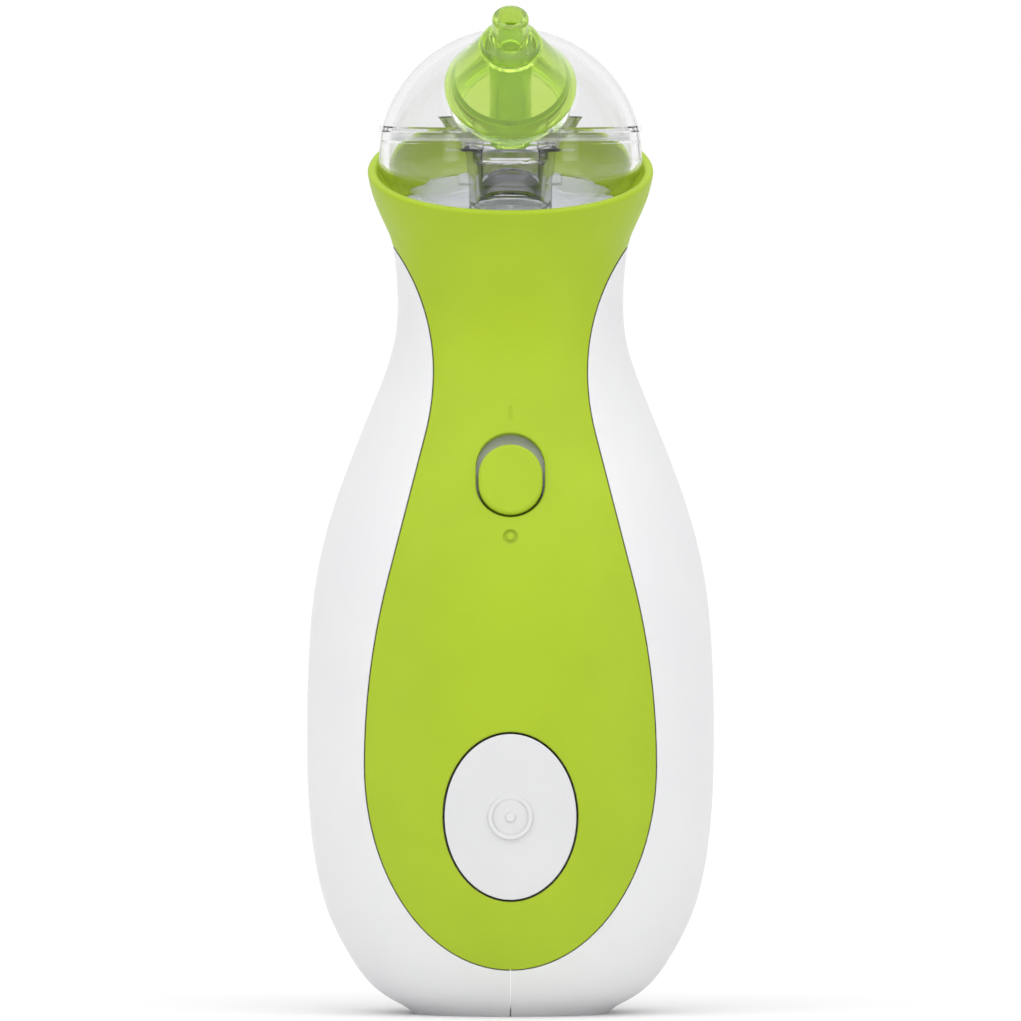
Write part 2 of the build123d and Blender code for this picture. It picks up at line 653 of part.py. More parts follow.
nozzle_length = BEND_START + BEND_RADIUS * full_turn + TIP_STRAIGHT
bend_runs = [BEND_START + BEND_RADIUS * full_turn * share for share in (0, 0.33, 0.67, 1)]
with BuildPart() as nozzle:
    add(nozzle_loft((-0.9, FLANGE_R), (0.7, FLANGE_R), (4.5, 7.25), (9.4, 4.5)))
    add(nozzle_loft((9.3, 4.3), (10.3, 4.1), (11.0, 3.1)))
    add(nozzle_loft((10.6, 3.0), (nozzle_length - 3.4, TIP_R)))
    add(nozzle_loft((nozzle_length - 3.5, TIP_R), (nozzle_length, TIP_R)))
    fillet(edges().filter_by(GeomType.CIRCLE).sort_by(Axis.Z)[-1:], 0.6)
    add(nozzle_loft((-1.0, 7.0), (1.6, 7.0), (7.8, 3.7)), mode=Mode.SUBTRACT)
    with Locations(ball_centre):
        Sphere(HEAD_R + 0.1, mode=Mode.SUBTRACT)
    # plug ring in the seat, and the spout with its bore
    with BuildSketch(port_plane(SEAT_DISTANCE - PLUG_DEPTH)):
        Circle(PORT_R - 0.07)
        Circle(PORT_R - PLUG_WALL, mode=Mode.SUBTRACT)
    extrude(amount=PLUG_DEPTH + 1.4)
    add(nozzle_loft((-10.4, 3.6), (-8.8, SPOUT_R), *[(run, SPOUT_R) for run in bend_runs]))
    bore = [(run, TIP_BORE_R) for run in (-8.8, *bend_runs, nozzle_length + 1)]
    add(nozzle_loft((-10.5, 2.6), *bore), mode=Mode.SUBTRACT)
pieces["nozzle"] = nozzle

with BuildPart() as nozzle_seal:
    with BuildSketch(port_plane(SEAT_DISTANCE - PLUG_DEPTH - 0.9)):
        Circle(PORT_R - 0.1)
        Circle(PORT_R - 0.9, mode=Mode.SUBTRACT)
    extrude(amount=0.85)
pieces["nozzle_seal"] = nozzle_seal

# ---------------------------------------------------------------- slide switch
knob_plane = Plane(
    origin=switch_plane.origin + switch_plane.y_dir * KNOB_REST, x_dir=(1, 0, 0), z_dir=switch_plane.z_dir
)
with BuildPart() as switch_knob:
    with BuildSketch(knob_plane.offset(-2.75)):
        SlotOverall(KNOB_SIZE[1], KNOB_SIZE[0], rotation=90)
    extrude(amount=2.75 + KNOB_RISE)
    fillet(edges().group_by(Axis(knob_plane.origin, knob_plane.z_dir))[-1], 0.45)
pieces["switch_knob"] = switch_knob

with BuildPart() as switch_slider:
    with BuildSketch(knob_plane.offset(-3.7)):
        RectangleRounded(11.6, 15.0, 2.0)
    extrude(amount=0.9)
    with BuildSketch(knob_plane.offset(-5.0)):
        Rectangle(2.4, 3.0)
    extrude(amount=1.4)
pieces["switch_slider"] = switch_slider

with BuildPart() as slide_switch:
    window_y = (BOARD_FRONT - 3, BOARD_FRONT - 0.8)
    add(block((-4.4, 4.4), (BOARD_FRONT - 1.4, BOARD_FRONT), (SWITCH_Z - 5, SWITCH_Z + 4.5)))
    add(block((-1.8, 1.8), window_y, (SWITCH_Z - 3.4, SWITCH_Z + 3.4)), mode=Mode.SUBTRACT)
pieces["slide_switch"] = slide_switch

# ---------------------------------------------------------------- main button
with BuildPart() as main_button:
    add(outer)
    with BuildSketch(Plane.XZ.offset(-BUTTON_BACK)):
        with Locations((0, BUTTON_Z)):
            Ellipse(BUTTON_SIZE[0] / 2 - BUTTON_GAP, BUTTON_SIZE[1] / 2 - BUTTON_GAP)
    extrude(amount=20, mode=Mode.INTERSECT)
    # hollow back, flange behind the panel and the post that works the switch
    with BuildSketch(Plane.XZ.offset(-BUTTON_BACK)):
        with Locations((0, BUTTON_Z)):
            Ellipse(BUTTON_SIZE[0] / 2 - 1.9, BUTTON_SIZE[1] / 2 - 1.9)
    extrude(amount=BUTTON_HOLLOW, mode=Mode.SUBTRACT)
    with BuildSketch(Plane.XZ.offset(-BUTTON_BACK)):
        with Locations((0, BUTTON_Z)):
            Ellipse(BUTTON_SIZE[0] / 2 + 0.7, BUTTON_SIZE[1] / 2 + 0.7)
            Ellipse(BUTTON_SIZE[0] / 2 - 1.9, BUTTON_SIZE[1] / 2 - 1.9, mode=Mode.SUBTRACT)
    extrude(amount=0.9)
    add(rod_y(2.0, 0, BUTTON_Z, -23.0, TACT_TOP - BUTTON_TRAVEL - 0.1))
    # plain raised ring and dot on the face
    with BuildSketch(Plane.XZ.offset(23.5)):
        with Locations((0, BUTTON_Z)):
            Circle(3.2)
            Circle(2.55, mode=Mode.SUBTRACT)
            Circle(0.7)
    extrude(amount=1.35)
pieces["main_button"] = main_button

with BuildPart() as tact_switch:
    add(block((-3, 3), (BOARD_FRONT - 2.6, BOARD_FRONT), (BUTTON_Z - 3, BUTTON_Z + 3)))
    add(rod_y(1.7, 0, BUTTON_Z, TACT_TOP, BOARD_FRONT - 2.5))
pieces["tact_switch"] = tact_switch

spring_seat = (0, BOARD_FRONT - SPRING_WIRE - 0.05, BUTTON_Z)
spring_reach = BOARD_FRONT - BUTTON_BACK + BUTTON_HOLLOW - 2 * SPRING_WIRE - 0.15
with BuildPart() as button_spring:
    add(coil(5.1, SPRING_WIRE, spring_reach / SPRING_TURNS, SPRING_TURNS, spring_seat, (0, -1, 0)))
pieces["button_spring"] = button_spring

# ---------------------------------------------------------------- circuit board
with BuildPart() as circuit_board:
    with BuildSketch(Plane.XZ.offset(-BOARD_BACK)):
        with Locations((0, 41)):
            RectangleRounded(22.4, 46, 1.5)
        with Locations((0, 73)):
            RectangleRounded(15, 24, 1.5)
    extrude(amount=BOARD_THICK)
    for x, z in BOARD_SCREWS:
        add(rod_y(1.1, x, z, BOARD_FRONT - 1, BOARD_BACK + 1), mode=Mode.SUBTRACT)
pieces["circuit_board"] = circuit_board

with BuildPart() as board_parts:
    for x, z, wide, tall, high in BOARD_PARTS:
        part_x = (x - wide / 2, x + wide / 2)
        part_z = (z - tall / 2, z + tall / 2)
        add(block(part_x, (BOARD_FRONT - high, BOARD_FRONT), part_z))
pieces["board_parts"] = board_parts

with BuildPart() as board_screws:
    for x, z in BOARD_SCREWS:
        add(rod_y(1.9, x, z, BOARD_FRONT - 1.1, BOARD_FRONT - 0.02))
        add(rod_y(0.9, x, z, BOARD_FRONT - 0.2, BOARD_BACK + 5))
        add(rod_y(0.6, x, z, BOARD_FRONT - 2, BOARD_FRONT - 0.6), mode=Mode.SUBTRACT)
pieces["board_screws"] = board_screws

# ---------------------------------------------------------------- inner frame and battery tray
with BuildPart() as inner_frame:
    add(block((-16.2, 16.2), (TRAY_FRONT, TRAY_FRONT + TRAY_THICK), (TRAY_LOW, TRAY_HIGH)))
    for side in (-1, 1):
        side_x = sorted((side * 15.0, side * 16.2))
        add(block(side_x, (TRAY_FRONT, 12.0), (TRAY_LOW, TRAY_HIGH)))
    add(block((-16.2, 16.2), (TRAY_FRONT, 17.0), (TRAY_LOW, TRAY_LOW + TRAY_THICK)))
    add(block((-16.2, 16.2), (-8.0, 17.0), (TRAY_HIGH - TRAY_THICK, TRAY_HIGH)))
    for x, z in CASING_SCREWS:
        add(rod_y(2.3, x, z, SCREW_BOSS_BACK + 0.1, TRAY_FRONT + 0.5))
    for x, z in BOARD_SCREWS:
        add(rod_y(2.0, x, z, BOARD_BACK + 0.02, TRAY_FRONT + 0.5))
    # open clamp round the motor on a rear post
    add(tube(MOTOR_R + 2.7, MOTOR_R + 1.45, 73.0, 80.0))
    add(block((-5, 5), (MOTOR_R + 1.6, MOTOR_R + 3.4), (TRAY_HIGH - 1, 80.0)))
    add(block((-20, 20), (-20, -6.5), (70.0, 84.0)), mode=Mode.SUBTRACT)
    add(frame_room, mode=Mode.INTERSECT)
    for x, z in CASING_SCREWS:
        add(rod_y(SCREW_R + 0.05, x, z, -20, SCREW_SEAT + SCREW_LENGTH + 0.2), mode=Mode.SUBTRACT)
    for x, z in BOARD_SCREWS:
        add(rod_y(0.95, x, z, -20, BOARD_BACK + 5.2), mode=Mode.SUBTRACT)
    for x in (-CELL_X, CELL_X):
        add(block((x - 1.2, x + 1.2), (0, 3), (TRAY_HIGH - 3.0, TRAY_HIGH - 1.2)), mode=Mode.SUBTRACT)
pieces["inner_frame"] = inner_frame

# ---------------------------------------------------------------- batteries and contacts
with BuildPart() as battery_cell_a:
    add(tube(CELL_R, 0, CELL_BOTTOM, CELL_BOTTOM + CELL_LENGTH, (-CELL_X, CELL_Y)))
    add(tube(2.7, 0, CELL_BOTTOM + 40, CELL_BOTTOM + CELL_LENGTH + CELL_NUB, (-CELL_X, CELL_Y)))
pieces["battery_cell_a"] = battery_cell_a

with BuildPart() as battery_cell_b:
    add(tube(CELL_R, 0, CELL_BOTTOM, CELL_BOTTOM + CELL_LENGTH, (CELL_X, CELL_Y)))
    add(tube(2.7, 0, CELL_BOTTOM - CELL_NUB, CELL_BOTTOM + 10, (CELL_X, CELL_Y)))
pieces["battery_cell_b"] = battery_cell_b

plate_top = TRAY_LOW + TRAY_THICK + 0.4
ceiling = TRAY_HIGH - TRAY_THICK
with BuildPart() as battery_bridge:
    add(block((-12.4, 12.4), (4.5, 14.5), (TRAY_LOW + TRAY_THICK + 0.02, plate_top)))
    add(coil(3.2, 0.3, 0.44, 3, (-CELL_X, CELL_Y, plate_top + 0.2)))
pieces["battery_bridge"] = battery_bridge

with BuildPart() as contact_plus:
    add(block((-12.4, -2.4), (4.5, 14.5), (ceiling - 0.4, ceiling - 0.02)))
    add(block((-CELL_X - 1, -CELL_X + 1), (0.4, 5.0), (ceiling - 0.4, ceiling - 0.02)))
pieces["contact_plus"] = contact_plus

spring_low = CELL_BOTTOM + CELL_LENGTH + 0.35
with BuildPart() as contact_minus:
    add(block((2.4, 12.4), (4.5, 14.5), (ceiling - 0.4, ceiling - 0.02)))
    add(block((CELL_X - 1, CELL_X + 1), (0.4, 5.0), (ceiling - 0.4, ceiling - 0.02)))
    add(coil(3.2, 0.3, (ceiling - 0.5 - spring_low) / 3, 3, (CELL_X, CELL_Y, spring_low)))
pieces["contact_minus"] = contact_minus

# ---------------------------------------------------------------- motor
with BuildPart() as motor_can:
    add(tube(MOTOR_R, MOTOR_R - 0.8, MOTOR_LOW + 2.0, MOTOR_HIGH))
    add(tube(MOTOR_R, 0, MOTOR_HIGH - 0.8, MOTOR_HIGH))
    add(tube(2.5, 0, MOTOR_HIGH - 1.0, MOTOR_HIGH), mode=Mode.SUBTRACT)
pieces["motor_can"] = motor_can

with BuildPart() as motor_end_cap:
    add(tube(MOTOR_R, 0, MOTOR_LOW, MOTOR_LOW + 1.95))
    add(tube(SHAFT_R + 0.05, 0, MOTOR_LOW + 0.8, MOTOR_LOW + 3), mode=Mode.SUBTRACT)
pieces["motor_end_cap"] = motor_end_cap

with BuildPart() as motor_magnets:
    add(tube(MOTOR_R - 0.85, MOTOR_R - 2.4, MOTOR_LOW + 3.5, MOTOR_HIGH - 3.0))
    add(block((-3, 3), (-12, 12), (MOTOR_LOW, MOTOR_HIGH)), mode=Mode.SUBTRACT)
pieces["motor_magnets"] = motor_magnets

with BuildPart() as motor_bushing:
    add(tube(2.45, SHAFT_R + 0.05, MOTOR_HIGH - 1.2, MOTOR_HIGH + 0.9))
pieces["motor_bushing"] = motor_bushing

with BuildPart() as motor_shaft:
    add(tube(SHAFT_R, 0, MOTOR_LOW + 0.9, HUB_TOP))
pieces["motor_shaft"] = motor_shaft

with BuildPart() as motor_rotor:
    with BuildSketch(Plane.XY.offset(MOTOR_LOW + 4.5)):
        Circle(MOTOR_R - 2.9)
        Circle(SHAFT_R, mode=Mode.SUBTRACT)
        with PolarLocations(MOTOR_R - 4.2, 3):
            Rectangle(4.4, 1.1, mode=Mode.SUBTRACT)
    extrude(amount=MOTOR_HIGH - MOTOR_LOW - 8.5)
    add(tube(3.0, SHAFT_R, MOTOR_LOW + 2.3, MOTOR_LOW + 4.6))
pieces["motor_rotor"] = motor_rotor

with BuildPart() as motor_sleeve:
    add(tube(MOTOR_R + 1.4, MOTOR_R + 0.03, MOTOR_LOW + 5, MOTOR_HIGH - 5))
    add(block((-20, 20), (-20, -6.6), (60, 95)), mode=Mode.SUBTRACT)
pieces["motor_sleeve"] = motor_sleeve

# ---------------------------------------------------------------- diaphragm pump
with BuildPart() as eccentric_hub:
    add(tube(4.0, SHAFT_R, HUB_LOW, HUB_TOP))
    add(tube(0.7, 0, HUB_TOP - 0.5, HUB_TOP + 1.9, (2.6, 0)))
pieces["eccentric_hub"] = eccentric_hub

with BuildPart() as pump_base:
    add(tube(PUMP_R, PUMP_R - 1.2, PUMP_LOW, DIAPHRAGM_LOW))
    add(tube(PUMP_R, 3.2, PUMP_LOW, PUMP_LOW + 1.0))
    with BuildSketch(Plane.XY.offset(PUMP_LOW)):
        with PolarLocations(PUMP_SCREW_R, 3, start_angle=90):
            Circle(1.7)
    extrude(amount=DIAPHRAGM_LOW - PUMP_LOW)
    with BuildSketch(Plane.XY.offset(PUMP_LOW - 1)):
        with PolarLocations(PUMP_SCREW_R, 3, start_angle=90):
            Circle(0.85)
    extrude(amount=12, mode=Mode.SUBTRACT)
    add(tube(20, PUMP_R, 80, 100), mode=Mode.SUBTRACT)
pieces["pump_base"] = pump_base

with BuildPart() as wobble_plate:
    with BuildSketch(Plane.XY.offset(HUB_TOP + 0.3)):
        Circle(4.6)
        with PolarLocations(5.2, 3, start_angle=30):
            SlotOverall(5.5, 3.2)
        Circle(3.5, mode=Mode.SUBTRACT)
    extrude(amount=1.0)
pieces["wobble_plate"] = wobble_plate

with BuildPart() as diaphragm:
    add(tube(PUMP_R, 0, DIAPHRAGM_LOW + 0.02, DIAPHRAGM_LOW + 0.9))
    with BuildSketch(Plane.XY.offset(HUB_TOP + 1.4)):
        with PolarLocations(6.0, 3, start_angle=30):
            Circle(2.6)
    extrude(amount=DIAPHRAGM_LOW + 0.5 - HUB_TOP - 1.4)
    with BuildSketch(Plane.XY.offset(DIAPHRAGM_LOW - 1)):
        with PolarLocations(PUMP_SCREW_R, 3, start_angle=90):
            Circle(0.95)
    extrude(amount=3, mode=Mode.SUBTRACT)
pieces["diaphragm"] = diaphragm

with BuildPart() as valve_plate:
    with BuildSketch(Plane.XY.offset(DIAPHRAGM_LOW + 0.92)):
        Circle(PUMP_R)
        with PolarLocations(PUMP_SCREW_R, 3, start_angle=90):
            Circle(0.95, mode=Mode.SUBTRACT)
        with PolarLocations(5.0, 6, start_angle=30):
            Circle(0.6, mode=Mode.SUBTRACT)
    extrude(amount=1.4)
pieces["valve_plate"] = valve_plate

with BuildPart() as pump_head:
    with BuildSketch(Plane.XY.offset(PUMP_HEAD_LOW)):
        Circle(PUMP_R)
        with PolarLocations(PUMP_SCREW_R, 3, start_angle=90):
            Circle(0.95, mode=Mode.SUBTRACT)
    extrude(amount=2.6)
    add(tube(1.5, 0, PUMP_HEAD_LOW + 2, BARB_TOP))
    add(tube(1.5, 0, PUMP_HEAD_LOW + 2, BARB_TOP - 1, (0, -6.5)))
    add(tube(0.8, 0, PUMP_HEAD_LOW + 0.8, BARB_TOP + 1), mode=Mode.SUBTRACT)
    add(tube(0.8, 0, PUMP_HEAD_LOW + 0.8, BARB_TOP + 1, (0, -6.5)), mode=Mode.SUBTRACT)
pieces["pump_head"] = pump_head

with BuildPart() as pump_screws:
    with BuildSketch(Plane.XY.offset(PUMP_LOW + 2)):
        with PolarLocations(PUMP_SCREW_R, 3, start_angle=90):
            Circle(0.8)
    extrude(amount=PUMP_HEAD_LOW + 2.7 - PUMP_LOW - 2)
    with BuildSketch(Plane.XY.offset(PUMP_HEAD_LOW + 2.62)):
        with PolarLocations(PUMP_SCREW_R, 3, start_angle=90):
            Circle(1.5)
    extrude(amount=0.9)
pieces["pump_screws"] = pump_screws

with BuildPart() as suction_hose:
    add(tube(2.5, 1.55, PUMP_HEAD_LOW + 2.8, STEM_END - 1.8))
pieces["suction_hose"] = suction_hose

# ---------------------------------------------------------------- internal wires
for label, x in (("motor_lead_red", -3.0), ("motor_lead_black", 3.0)):
    with BuildPart() as motor_lead:
        route = [(x, BOARD_BACK + 0.02, 60), (x, MOTOR_LEAD_Y, 60), (x, MOTOR_LEAD_Y, MOTOR_LOW - 0.02)]
        add(lead(route, 2.2))
    pieces[label] = motor_lead

for label, x in (("battery_lead_red", -CELL_X), ("battery_lead_black", CELL_X)):
    with BuildPart() as battery_lead:
        route = [
            (x, 0.35, ceiling - 0.6), (x, -3.2, ceiling - 0.6), (x, -7.6, ceiling - 6.0),
            (x, BOARD_BACK + 0.02, ceiling - 6.0),
        ]
        add(lead(route, 2.4))
    pieces[label] = battery_lead

for name, piece in pieces.items():
    piece.part.label = name
    export_step(piece.part, f"parts/{name}.step")
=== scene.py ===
import json
from math import cos, pi, radians, sin

import bpy
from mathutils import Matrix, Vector


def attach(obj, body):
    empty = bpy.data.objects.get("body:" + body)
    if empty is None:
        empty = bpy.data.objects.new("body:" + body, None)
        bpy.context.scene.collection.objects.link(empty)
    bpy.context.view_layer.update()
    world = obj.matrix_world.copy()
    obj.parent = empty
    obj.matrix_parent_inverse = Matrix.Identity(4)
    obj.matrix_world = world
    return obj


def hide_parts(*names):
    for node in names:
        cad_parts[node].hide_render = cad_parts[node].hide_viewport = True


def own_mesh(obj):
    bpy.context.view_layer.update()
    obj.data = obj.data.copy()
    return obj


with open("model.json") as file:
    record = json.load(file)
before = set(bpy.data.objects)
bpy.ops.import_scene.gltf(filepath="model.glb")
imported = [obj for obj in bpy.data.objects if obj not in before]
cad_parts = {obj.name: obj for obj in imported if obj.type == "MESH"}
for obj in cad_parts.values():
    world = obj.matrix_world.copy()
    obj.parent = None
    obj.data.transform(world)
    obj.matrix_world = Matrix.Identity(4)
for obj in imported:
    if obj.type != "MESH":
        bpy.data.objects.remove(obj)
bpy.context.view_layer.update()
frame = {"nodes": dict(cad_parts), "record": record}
NODES = frame["nodes"]
MM = 0.001

# ---------------------------------------------------------------- materials
SRGB_TOE = 0.04045
SRGB_TOE_SLOPE = 12.92
SRGB_OFFSET = 0.055
SRGB_GAMMA = 2.4
NOISE_SPAN = (0.3, 0.7)        # where a noise texture's values mostly lie
BEVEL_SAMPLES = 4
EDGE_DOT = (0.75, 0.995)       # how far the rounded normal leans from the true one, edge to open surface

# moulded plastic; sizes in millimetres
FLOW_SIZE = 14.0
SPECK_SIZE = 0.9
SPECK_SPAN = (0.45, 0.75)
SPECK_STRENGTH = 0.06
GLOSS_SIZE = 3.0
GLOSS_VARIES = (-0.05, 0.06)
GRAIN_SIZE = 0.16
GRAIN_DEPTH = 0.004
GRAIN_STRENGTH = 0.6
# how far sharp edges are lightened towards the edge colour: a painted highlight
EDGE_HIGHLIGHT_TINT = 0.35
EDGE_POLISH = 0.08
COAT_ROUGHNESS = 0.12

# clear plastic
SWIRL_SIZE = 9.0
HAZE_SIZE = 2.2
HAZE_VARIES = (0.6, 1.6)       # shares of the mean roughness
RIPPLE_STRENGTH = 0.5

# metal
TARNISH_SIZE = 5.0
SCRATCH_SIZE = 0.25
SCRATCH_DEPTH = 0.003
METAL_BEVEL = 0.2
METAL_EDGE_TINT = 0.4
METAL_VARIES = (-0.08, 0.12)

# silicone, rubber and wire
DUST_SIZE = 3.0
RUBBER_VARIES = 0.1
RUBBER_GRAIN = (0.25, 0.006)   # size, depth
RUBBER_SHEEN = 0.15

# inner parts
FLAKE_COLOUR = (150, 155, 160)
FLAKE_SPAN = (0.5, 0.8)
FLAKE_STRENGTH = 0.25
JACKET_ROUGHNESS = (0.24, 0.4)
BAND_Z = 0.055
TRACE_PITCH = 3.2
TRACE_WIDTH = 0.04             # share of the pitch
TRACE_CUT = (0.48, 0.52)
TRACE_COLOUR = (64, 140, 84)
TRACE_HEIGHT = 0.03
WIRE_PITCH = 1.4
WIRE_HEIGHT = 0.08
WIRE_WANDER = 0.6


def linear(red, green, blue):
    """sRGB 0-255 to the linear colour a shader takes."""
    values = []
    for value in (red, green, blue):
        share = value / 255
        if share <= SRGB_TOE:
            values.append(share / SRGB_TOE_SLOPE)
        else:
            values.append(((share + SRGB_OFFSET) / (1 + SRGB_OFFSET)) ** SRGB_GAMMA)
    return (*values, 1.0)


class Tree:
    """A material's node tree with short calls for adding nodes and links."""

    def __init__(self, name):
        self.material = bpy.data.materials.new(name)
        self.material.use_nodes = True
        self.nodes = self.material.node_tree.nodes
        self.links = self.material.node_tree.links
        self.shader = self.nodes["Principled BSDF"]
        self.output = self.nodes["Material Output"]
        self.place = self.nodes.new("ShaderNodeTexCoord").outputs["Object"]

    def feed(self, socket, value):
        """Link a node's output to a socket, or set the socket to a plain value."""
        if isinstance(value, bpy.types.NodeSocket):
            self.links.new(value, socket)
        else:
            socket.default_value = value

    def put(self, name, value):
        self.feed(self.shader.inputs[name], value)

    def noise(self, scale, detail=2.0, roughness=0.5):
        """Noise of a given feature size in millimetres."""
        node = self.nodes.new("ShaderNodeTexNoise")
        self.feed(node.inputs["Scale"], 1 / (scale * MM))
        self.feed(node.inputs["Detail"], detail)
        self.feed(node.inputs["Roughness"], roughness)
        self.feed(node.inputs["Vector"], self.place)
        return node.outputs["Fac"]

    def ranged(self, source, low, high, source_low, source_high):
        """Map a value's span to low..high, clamped."""
        node = self.nodes.new("ShaderNodeMapRange")
        self.feed(node.inputs["From Min"], source_low)
        self.feed(node.inputs["From Max"], source_high)
        self.feed(node.inputs["To Min"], low)
        self.feed(node.inputs["To Max"], high)
        self.feed(node.inputs["Value"], source)
        return node.outputs["Result"]

    def drift(self, scale, detail=2.0, roughness=0.5, low=0.0, high=1.0):
        """Noise stretched to wander over the whole of low..high."""
        return self.ranged(self.noise(scale, detail, roughness), low, high, *NOISE_SPAN)

    def mix(self, factor, first, second):
        """Mix of two colours."""
        node = self.nodes.new("ShaderNodeMix")
        node.data_type = "RGBA"
        factor_socket, first_socket, second_socket = 0, 6, 7
        self.feed(node.inputs[factor_socket], factor)
        self.feed(node.inputs[first_socket], first)
        self.feed(node.inputs[second_socket], second)
        return next(socket for socket in node.outputs if socket.type == "RGBA")

    def math(self, operation, first, second):
        node = self.nodes.new("ShaderNodeMath")
        node.operation = operation
        self.feed(node.inputs[0], first)
        self.feed(node.inputs[1], second)
        return node.outputs[0]

    def bump(self, height, distance, strength, normal=None):
        """Surface relief whose height is distance millimetres."""
        node = self.nodes.new("ShaderNodeBump")
        self.feed(node.inputs["Distance"], distance * MM)
        self.feed(node.inputs["Strength"], strength)
        self.feed(node.inputs["Height"], height)
        if normal is not None:
            self.feed(node.inputs["Normal"], normal)
        return node.outputs["Normal"]

    def edge_mask_and_rounding(self, radius):
        """0 on open surfaces, rising to 1 along sharp edges, and the rounded normal there."""
        bevel = self.nodes.new("ShaderNodeBevel")
        bevel.samples = BEVEL_SAMPLES
        self.feed(bevel.inputs["Radius"], radius * MM)
        facing = self.nodes.new("ShaderNodeNewGeometry")
        dot = self.nodes.new("ShaderNodeVectorMath")
        dot.operation = "DOT_PRODUCT"
        self.feed(dot.inputs[0], bevel.outputs["Normal"])
        self.feed(dot.inputs[1], facing.outputs["Normal"])
        mask = self.ranged(dot.outputs["Value"], 1.0, 0.0, *EDGE_DOT)
        return mask, bevel.outputs["Normal"]


def moulded(name, colour, dark, rough=0.4, edge=None, bevel=0.3, coat=0.0, specular=0.5):
    """Injection-moulded plastic: faint colour drift, fine spark-eroded grain, and polished edges whose
    colour is lightened towards the edge colour as a painted highlight.
    """
    tree = Tree(name)
    base = tree.mix(tree.drift(FLOW_SIZE, 3.0), linear(*dark), linear(*colour))
    specks = tree.ranged(tree.noise(SPECK_SIZE, 4.0, 0.6), 0.0, SPECK_STRENGTH, *SPECK_SPAN)
    base = tree.mix(specks, base, linear(*dark))
    mask, rounded = tree.edge_mask_and_rounding(bevel)
    edge_highlight_colour = linear(*(edge or colour))
    # painted highlight: colour lightened towards the edge colour along sharp edges
    tree.put("Base Color", tree.mix(tree.math("MULTIPLY", mask, EDGE_HIGHLIGHT_TINT), base, edge_highlight_colour))
    low, high = (rough + change for change in GLOSS_VARIES)
    roughness = tree.drift(GLOSS_SIZE, 5.0, 0.65, low, high)
    tree.put("Roughness", tree.math("SUBTRACT", roughness, tree.math("MULTIPLY", mask, EDGE_POLISH)))
    tree.put("Normal", tree.bump(tree.noise(GRAIN_SIZE, 3.0, 0.7), GRAIN_DEPTH, GRAIN_STRENGTH, rounded))
    tree.put("Specular IOR Level", specular)
    tree.put("Coat Weight", coat)
    tree.put("Coat Roughness", COAT_ROUGHNESS)
    return tree.material


def clear(name, tint, cloud, shade, rough, ior=1.49, ripple=0.010, ripple_size=6.0, body=0.0):
    """Polished transparent plastic: faint flow swirls and ripples, with a share of milky body."""
    tree = Tree(name)
    tree.put("Base Color", tree.mix(tree.drift(SWIRL_SIZE, 3.0), tint, cloud))
    low, high = (rough * share for share in HAZE_VARIES)
    tree.put("Roughness", tree.drift(HAZE_SIZE, 4.0, 0.6, low, high))
    tree.put("Normal", tree.bump(tree.noise(ripple_size, 1.0), ripple, RIPPLE_STRENGTH))
    tree.put("IOR", ior)
    tree.put("Transmission Weight", 1.0 - body)
    # lamps shine through, tinted by shade
    through = tree.nodes.new("ShaderNodeBsdfTransparent")
    tree.feed(through.inputs["Color"], shade)
    path = tree.nodes.new("ShaderNodeLightPath")
    blend = tree.nodes.new("ShaderNodeMixShader")
    tree.feed(blend.inputs[0], path.outputs["Is Shadow Ray"])
    tree.feed(blend.inputs[1], tree.shader.outputs[0])
    tree.feed(blend.inputs[2], through.outputs[0])
    tree.feed(tree.output.inputs["Surface"], blend.outputs[0])
    return tree.material


def metal(name, colour, dark, rough):
    """Plated or drawn metal with fine scratches, tarnish drift and brighter worn edges."""
    tree = Tree(name)
    mask, rounded = tree.edge_mask_and_rounding(METAL_BEVEL)
    base = tree.mix(tree.drift(TARNISH_SIZE, 4.0), linear(*dark), linear(*colour))
    tree.put("Base Color", tree.mix(tree.math("MULTIPLY", mask, METAL_EDGE_TINT), base, linear(*colour)))
    tree.put("Metallic", 1.0)
    scratches = tree.noise(SCRATCH_SIZE, 2.0, 0.8)
    low, high = (rough + change for change in METAL_VARIES)
    tree.put("Roughness", tree.ranged(scratches, low, high, *NOISE_SPAN))
    tree.put("Normal", tree.bump(scratches, SCRATCH_DEPTH, 0.5, rounded))
    return tree.material


def rubbery(name, colour, dark, rough=0.65):
    """Soft silicone or rubber: dusty roughness, faint sheen and shallow moulding texture."""
    tree = Tree(name)
    size, depth = RUBBER_GRAIN
    tree.put("Base Color", tree.mix(tree.drift(DUST_SIZE, 4.0), linear(*dark), linear(*colour)))
    tree.put("Roughness", tree.drift(0.7, 4.0, 0.5, rough - RUBBER_VARIES, rough + RUBBER_VARIES))
    tree.put("Normal", tree.bump(tree.noise(size, 3.0), depth, 0.6))
    tree.put("Sheen Weight", RUBBER_SHEEN)
    return tree.material


def cell_jacket(name, low_colour, high_colour):
    """Battery jacket: two plain printed zones meeting at a height, with a soft metallic flake."""
    tree = Tree(name)
    split = tree.nodes.new("ShaderNodeSeparateXYZ")
    tree.feed(split.inputs[0], tree.place)
    zone = tree.math("GREATER_THAN", split.outputs["Z"], BAND_Z)
    base = tree.mix(zone, linear(*low_colour), linear(*high_colour))
    flake = tree.ranged(tree.noise(0.3, 2.0), 0.0, FLAKE_STRENGTH, *FLAKE_SPAN)
    tree.put("Base Color", tree.mix(flake, base, linear(*FLAKE_COLOUR)))
    tree.put("Roughness", tree.drift(1.5, 3.0, 0.5, *JACKET_ROUGHNESS))
    tree.put("Normal", tree.bump(tree.noise(0.4, 2.0), 0.003, 0.4))
    tree.put("Metallic", 0.35)
    tree.put("Coat Weight", 0.4)
    return tree.material


